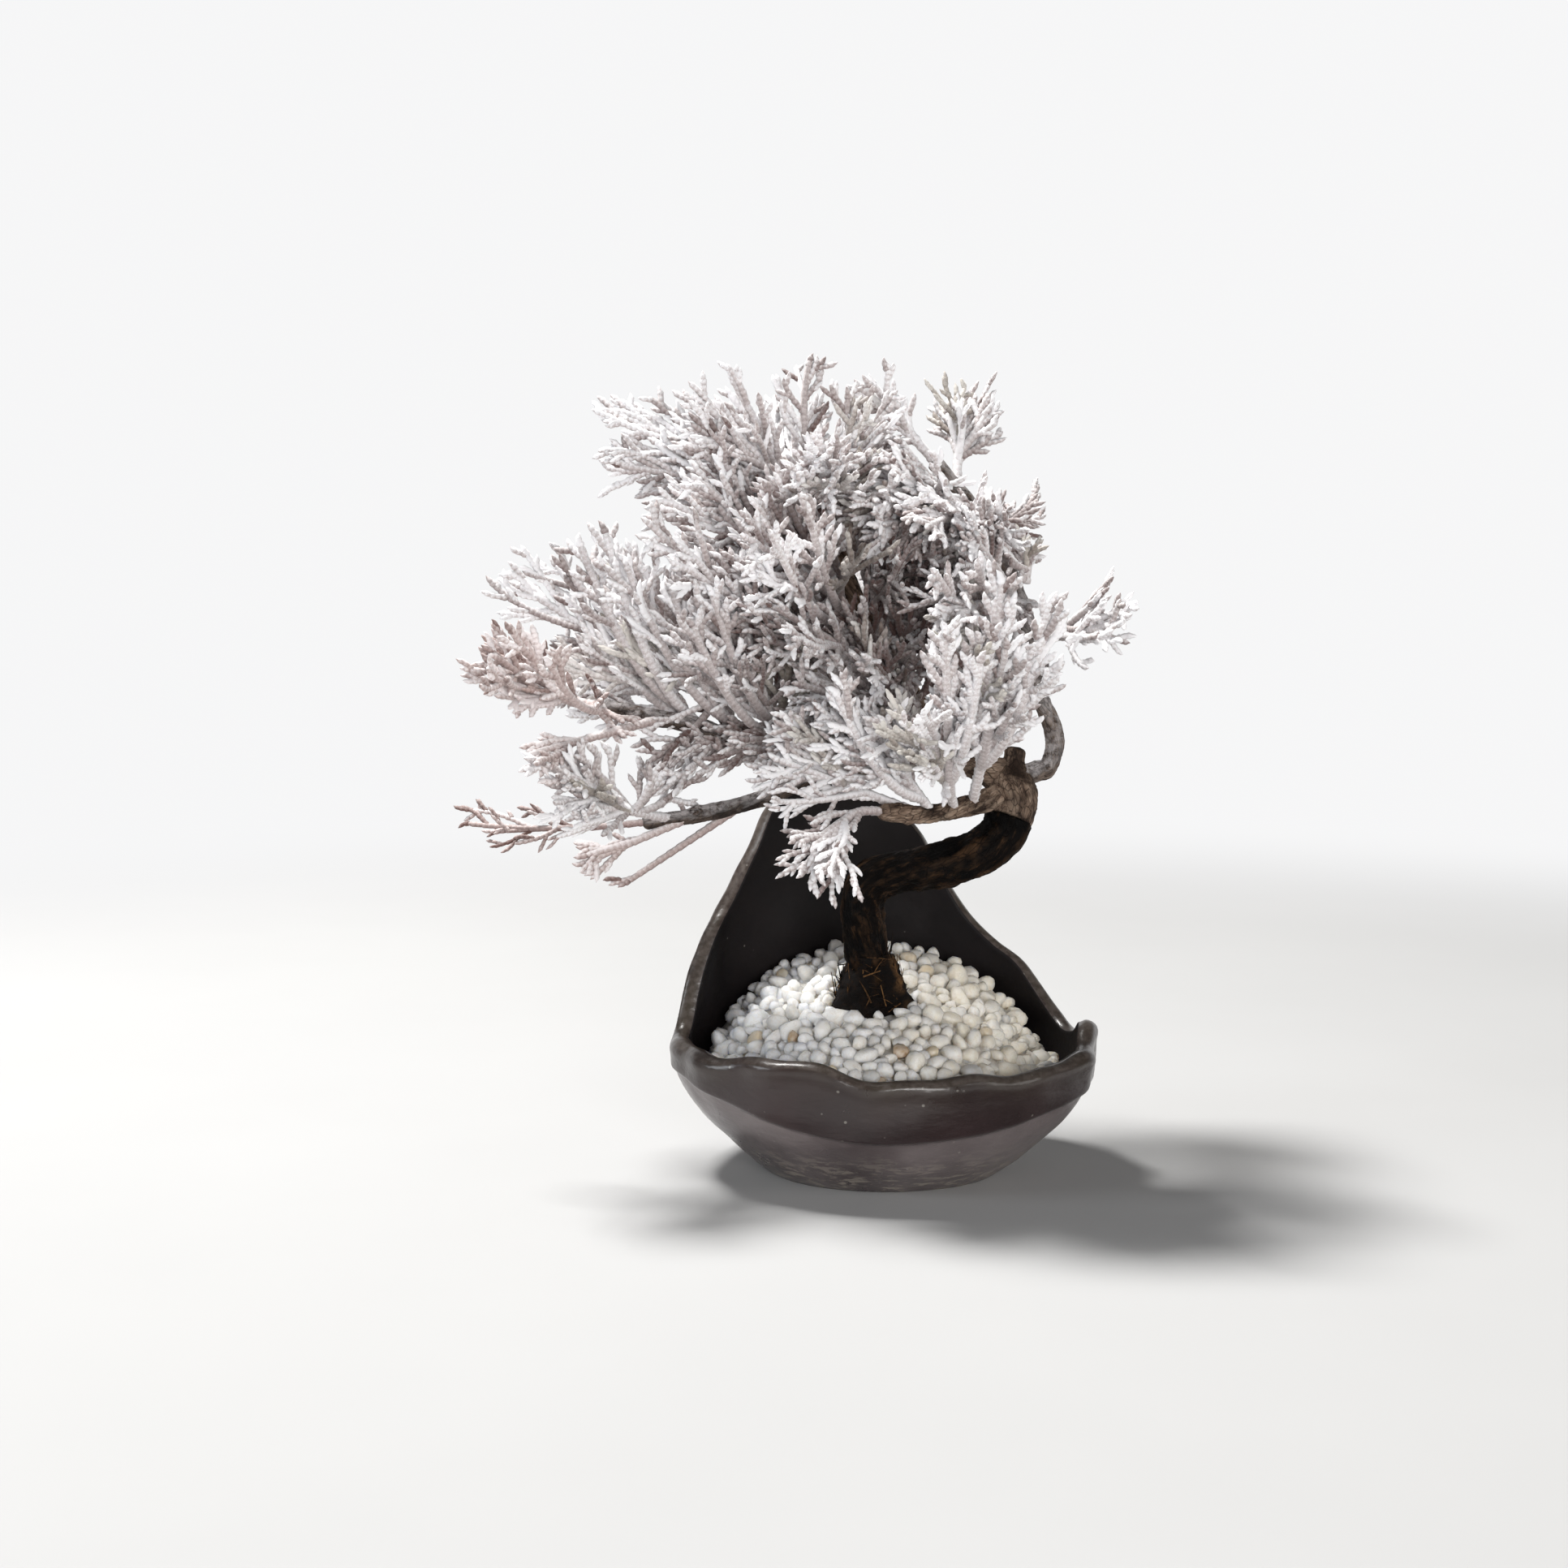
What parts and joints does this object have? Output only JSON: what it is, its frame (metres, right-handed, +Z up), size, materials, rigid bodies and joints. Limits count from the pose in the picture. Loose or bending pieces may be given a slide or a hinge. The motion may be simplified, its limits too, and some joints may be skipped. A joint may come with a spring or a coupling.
{
  "type": "artificial tabletop tree",
  "caption": "Small frosted bonsai-style tree with plug-in foliage sprays on a bent wooden trunk, set in white gravel in a hooded ceramic pot.",
  "frame": {"origin": "centre of the pot's flat foot, on the surface it stands on", "axes": "+Z up, +X to the viewer's right, the low front rim faces -Y"},
  "size_m": [0.2012, 0.1449, 0.2544],
  "materials": {
    "pot_glaze": "dark mauve-brown satin glaze, olive-grey where it runs thin on the lip",
    "floral_foam": "crumbly dry foam",
    "white_quartz": "milky tumbled grains, a few tan",
    "root_peat": "matted dark root fibre",
    "steel_rod": "plain drawn rod",
    "dark_bark": "rough dark bark with worn brown ridges",
    "pale_wood": "peeled brown wood",
    "dowel_wood": "smooth beech",
    "frosted_foliage": "white flocking over scale leaves",
    "warm_foliage": "thin flocking over pink-brown scale leaves"
  },
  "bodies": {
    "planter": {"ceramic_pot": "pot_glaze", "foam_block": "floral_foam", "gravel_bed": "white_quartz", "root_clump": "root_peat", "anchor_rod": "steel_rod", "trunk": "dark_bark", "crown_burl": "pale_wood", "crown_dowel": "dowel_wood", "limb_centre": "dark_bark", "limb_right": "dark_bark", "limb_front": "pale_wood", "limb_left": "dark_bark", "limb_left_low": "dark_bark", "limb_back": "dark_bark", "spray_left_upper": "frosted_foliage", "spray_left_fan": "frosted_foliage", "spray_left_fan_inner": "frosted_foliage", "spray_left_warm": "warm_foliage", "spray_left_rear": "frosted_foliage", "spray_low_droop": "warm_foliage", "spray_low_twig": "warm_foliage", "spray_low_front": "frosted_foliage", "spray_top_left": "frosted_foliage", "spray_top_left_inner": "frosted_foliage", "spray_mid_left": "frosted_foliage", "spray_mid_front": "frosted_foliage", "spray_mid_front_low": "frosted_foliage", "spray_top_front": "frosted_foliage", "spray_top_rear": "frosted_foliage", "spray_top_inner": "frosted_foliage", "spray_crown_left": "frosted_foliage", "spray_crown_inner": "frosted_foliage", "spray_crown_right": "frosted_foliage", "spray_centre_low": "frosted_foliage", "spray_right_top_rear": "frosted_foliage", "spray_right_side": "frosted_foliage", "spray_right_front": "frosted_foliage", "spray_right_front_low": "frosted_foliage", "spray_right_rear": "frosted_foliage", "spray_far_right": "frosted_foliage", "spray_front_low_left": "frosted_foliage", "spray_front_mid": "frosted_foliage", "spray_front_right": "frosted_foliage", "spray_front_right_inner": "frosted_foliage", "spray_back_left": "frosted_foliage", "spray_back_right": "frosted_foliage", "spray_back_low": "frosted_foliage"},
    "spray_left_near_plug": {"spray_left_near": "warm_foliage"},
    "spray_far_left_plug": {"spray_far_left": "warm_foliage"},
    "spray_top_spike_plug": {"spray_top_spike": "frosted_foliage"},
    "spray_right_top_plug": {"spray_right_top": "frosted_foliage"},
    "spray_front_low_plug": {"spray_front_low": "frosted_foliage"},
    "spray_back_up_plug": {"spray_back_up": "frosted_foliage"}
  },
  "joints": [
    {"name": "left_near_turn", "type": "hinge", "parent": "planter", "child": "spray_left_near_plug", "pos_m": [-0.08212, -0.0095, 0.14418], "axis": [-0.9708, -0.1247, 0.2049], "range_deg": [-20, 20]},
    {"name": "far_left_turn", "type": "hinge", "parent": "planter", "child": "spray_far_left_plug", "pos_m": [-0.07018, -0.01085, 0.11035], "axis": [-0.954, -0.2868, -0.0873], "range_deg": [-20, 20]},
    {"name": "top_spike_turn", "type": "hinge", "parent": "planter", "child": "spray_top_spike_plug", "pos_m": [-0.0209, 0.01, 0.21016], "axis": [-0.2758, 0, 0.9612], "range_deg": [-20, 20]},
    {"name": "right_top_turn", "type": "hinge", "parent": "planter", "child": "spray_right_top_plug", "pos_m": [0.01758, 0.014, 0.21695], "axis": [-0.6458, 0, 0.7635], "range_deg": [-20, 20]},
    {"name": "front_low_turn", "type": "hinge", "parent": "planter", "child": "spray_front_low_plug", "pos_m": [0.00035, -0.03189, 0.11541], "axis": [-0.8367, -0.5276, 0.147], "range_deg": [-20, 20]},
    {"name": "back_up_turn", "type": "hinge", "parent": "planter", "child": "spray_back_up_plug", "pos_m": [-0.00234, 0.04146, 0.17539], "axis": [-0.4152, 0.6351, 0.6514], "range_deg": [-20, 20]}
  ]
}
